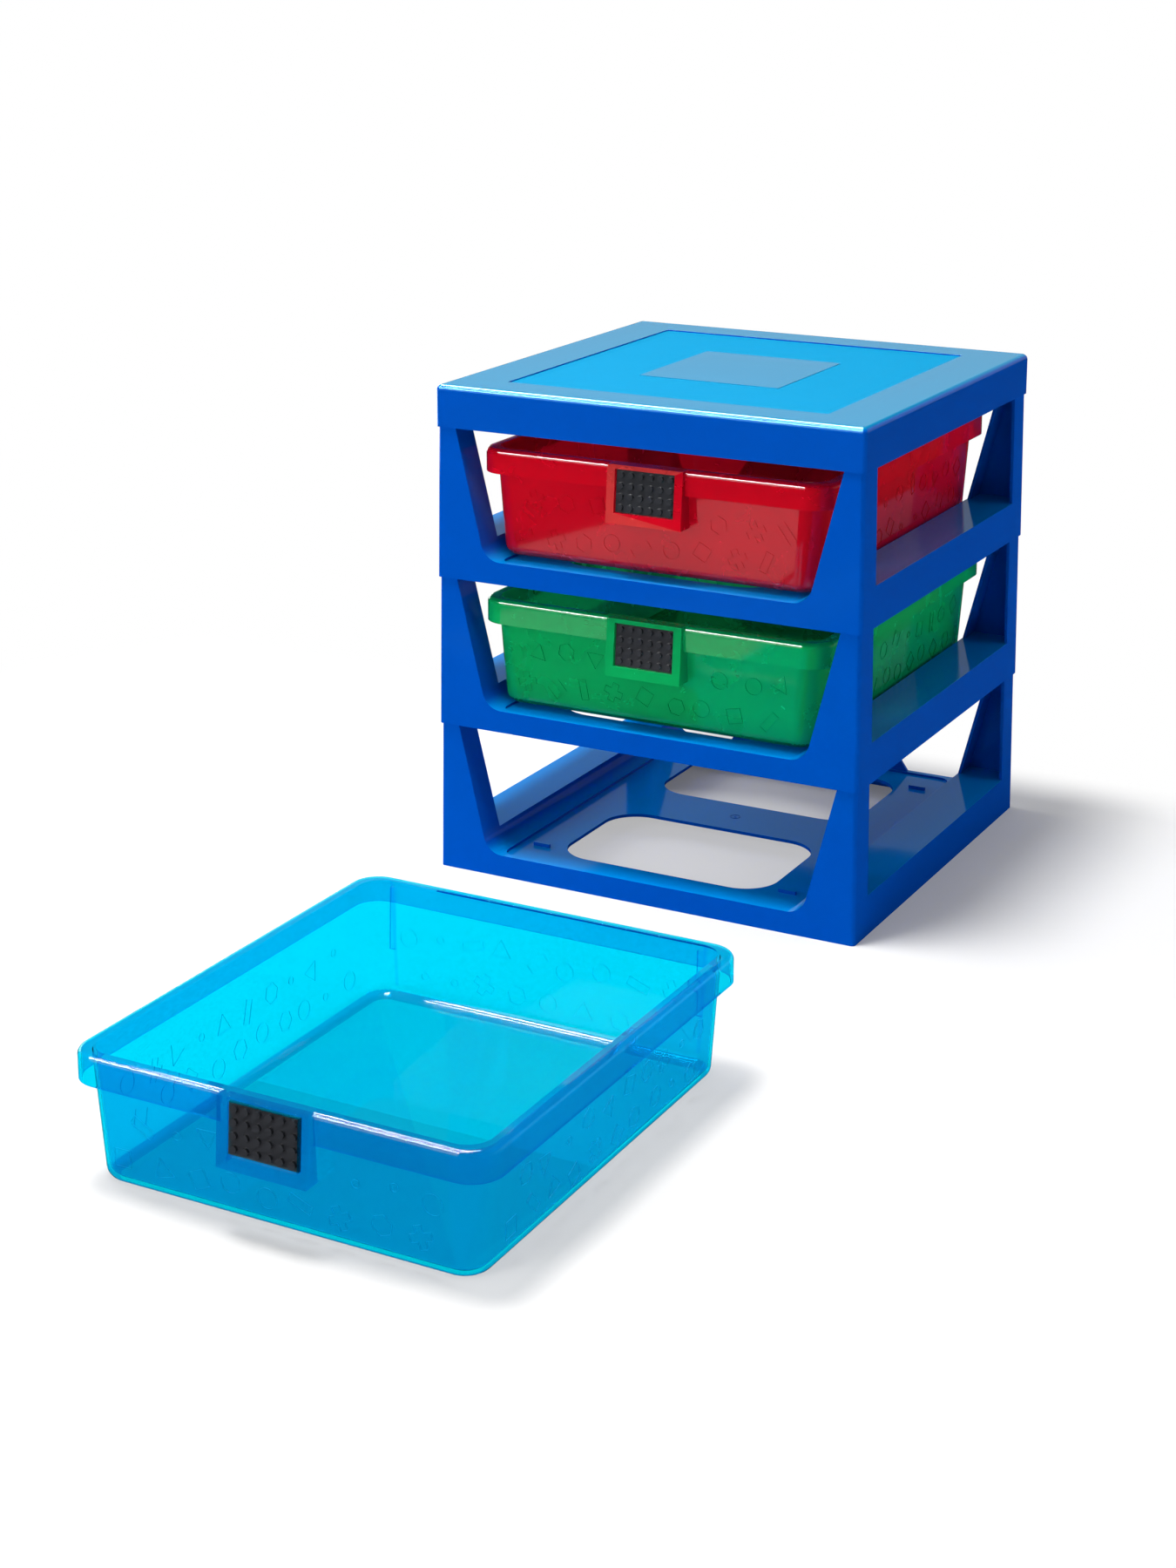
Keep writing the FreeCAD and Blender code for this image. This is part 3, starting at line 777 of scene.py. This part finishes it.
def studio_world(ambient):
    """White where it is looked at, darker before the object where it is mirrored, and dim as a light."""
    world = bpy.data.worlds.new("studio")
    world.use_nodes = True
    tree = world.node_tree
    tree.nodes.clear()
    link = tree.links.new
    dim = add(tree, "ShaderNodeBackground", {"Color": rgba(WHITE)})
    white = add(tree, "ShaderNodeBackground", {"Color": rgba(WHITE), "Strength": 1.0})
    backdrop = add(tree, "ShaderNodeBackground", {"Color": rgba(WHITE)})
    where = add(tree, "ShaderNodeTexCoord")
    place = add(tree, "ShaderNodeSeparateXYZ")
    link(where.outputs["Generated"], place.inputs[0])
    band = add(tree, "ShaderNodeMath", operation="MULTIPLY")
    link(ramp(tree, place.outputs["Y"], *BACKDROP_DEPTH_FADE), band.inputs[0])
    link(ramp(tree, place.outputs["Z"], *BACKDROP_HEIGHT_FADE), band.inputs[1])
    link(band.outputs[0], backdrop.inputs["Strength"])
    level = ramp(tree, place.outputs["X"], *AMBIENT_REACH, ambient, FAR_AMBIENT * ambient)
    link(level, dim.inputs["Strength"])
    mirrored = blended(tree, ray_mask(tree, "Is Glossy Ray"), dim.outputs["Background"],
                       backdrop.outputs["Background"])
    seen = blended(tree, ray_mask(tree, "Is Camera Ray", "Is Transmission Ray"), mirrored,
                   white.outputs["Background"])
    out = add(tree, "ShaderNodeOutputWorld")
    link(seen, out.inputs["Surface"])
    return world


def sheet(name, corners, material):
    """A flat sheet of the studio."""
    bm = bmesh.new()
    bm.faces.new([bm.verts.new(corner) for corner in corners])
    mesh = bpy.data.meshes.new(name)
    bm.to_mesh(mesh)
    bm.free()
    mesh.materials.append(material)
    piece = bpy.data.objects.new(name, mesh)
    bpy.context.scene.collection.objects.link(piece)
    return piece


def soft_lamp(name, place, aim, size, power):
    lamp = bpy.data.lights.new(name, "AREA")
    lamp.shape = "DISK"
    lamp.size = size
    lamp.energy = power
    holder = bpy.data.objects.new(name, lamp)
    holder.location = place
    holder.rotation_euler = (Vector(aim) - Vector(place)).to_track_quat("-Z", "Y").to_euler()
    bpy.context.scene.collection.objects.link(holder)
    return holder


class RACK_OT_stage(bpy.types.Operator):
    """Sets the floor, the soft light and the camera"""
    bl_idname = "drawer_rack.stage"
    bl_label = "Studio"

    def execute(self, context):
        _, _, stage = settings()
        scene = context.scene
        sheet("studio_floor", level_corners((0.0, 0.0, 0.0), (FLOOR_WIDTH, FLOOR_WIDTH)),
              floor_material(stage.floor))
        card = sheet("white_card", [(x, y, CARD_LIFT) for x, y in CARD_CORNERS], card_material())
        glints = glint_material("light_strip", stage.glint)
        strips = [sheet("light_strip_%d" % i, level_corners(*strip), glints)
                  for i, strip in enumerate(STRIPS)]
        near, far = LOW_CARD_ENDS
        foot, top = LOW_CARD_LEVELS
        upright = [(LOW_CARD_ACROSS, y, z) for y, z in ((near, foot), (far, foot), (far, top), (near, top))]
        low_card = sheet("low_card", upright, glint_material("low_card", LOW_CARD_GLOW))
        for panel in (card, low_card, *strips):
            panel.visible_camera = False
            panel.visible_diffuse = False
            panel.visible_transmission = False
            panel.visible_shadow = False

        scene.world = studio_world(stage.ambient)
        for name, (place, aim, size, mirrored) in LAMPS.items():
            lamp = soft_lamp(name + "_lamp", place, aim, size, getattr(stage, name))
            lamp.visible_glossy = mirrored

        view = bpy.data.cameras.new("photo_camera")
        view.sensor_width = CAMERA_SENSOR
        view.lens = CAMERA_LENS
        view.shift_y = CAMERA_SHIFT
        camera = bpy.data.objects.new("photo_camera", view)
        camera.location = CAMERA_PLACE
        camera.rotation_euler = (math.radians(90.0 - CAMERA_DOWN), 0.0, math.radians(CAMERA_TURN))
        scene.collection.objects.link(camera)
        scene.camera = camera
        scene.view_settings.view_transform = "Standard"
        return {"FINISHED"}


class RACK_PT_panel(bpy.types.Panel):
    """Lists the rack's pieces"""
    bl_label = "Drawer Rack"
    bl_idname = "RACK_PT_panel"
    bl_space_type = "VIEW_3D"
    bl_region_type = "UI"
    bl_category = "Drawer Rack"

    def draw(self, context):
        for operator in OPERATORS:
            self.layout.operator(operator.bl_idname)


OPERATORS = (RACK_OT_tiers, RACK_OT_cover, RACK_OT_drawers, RACK_OT_stud_plates, RACK_OT_stage)
GROUPS = {
    "drawer_rack_rack": RackSettings,
    "drawer_rack_drawer": DrawerSettings,
    "drawer_rack_stage": StageSettings,
}


def register():
    for cls in (*GROUPS.values(), *OPERATORS, RACK_PT_panel):
        bpy.utils.register_class(cls)
    for name, cls in GROUPS.items():
        setattr(bpy.types.Scene, name, PointerProperty(type=cls))


def unregister():
    for name in GROUPS:
        delattr(bpy.types.Scene, name)
    for cls in reversed((*GROUPS.values(), *OPERATORS, RACK_PT_panel)):
        bpy.utils.unregister_class(cls)


def main():
    register()
    bpy.ops.drawer_rack.tiers()
    bpy.ops.drawer_rack.cover()
    bpy.ops.drawer_rack.drawers()
    bpy.ops.drawer_rack.stud_plates()
    bpy.ops.drawer_rack.stage()


if __name__ == "__main__":
    main()
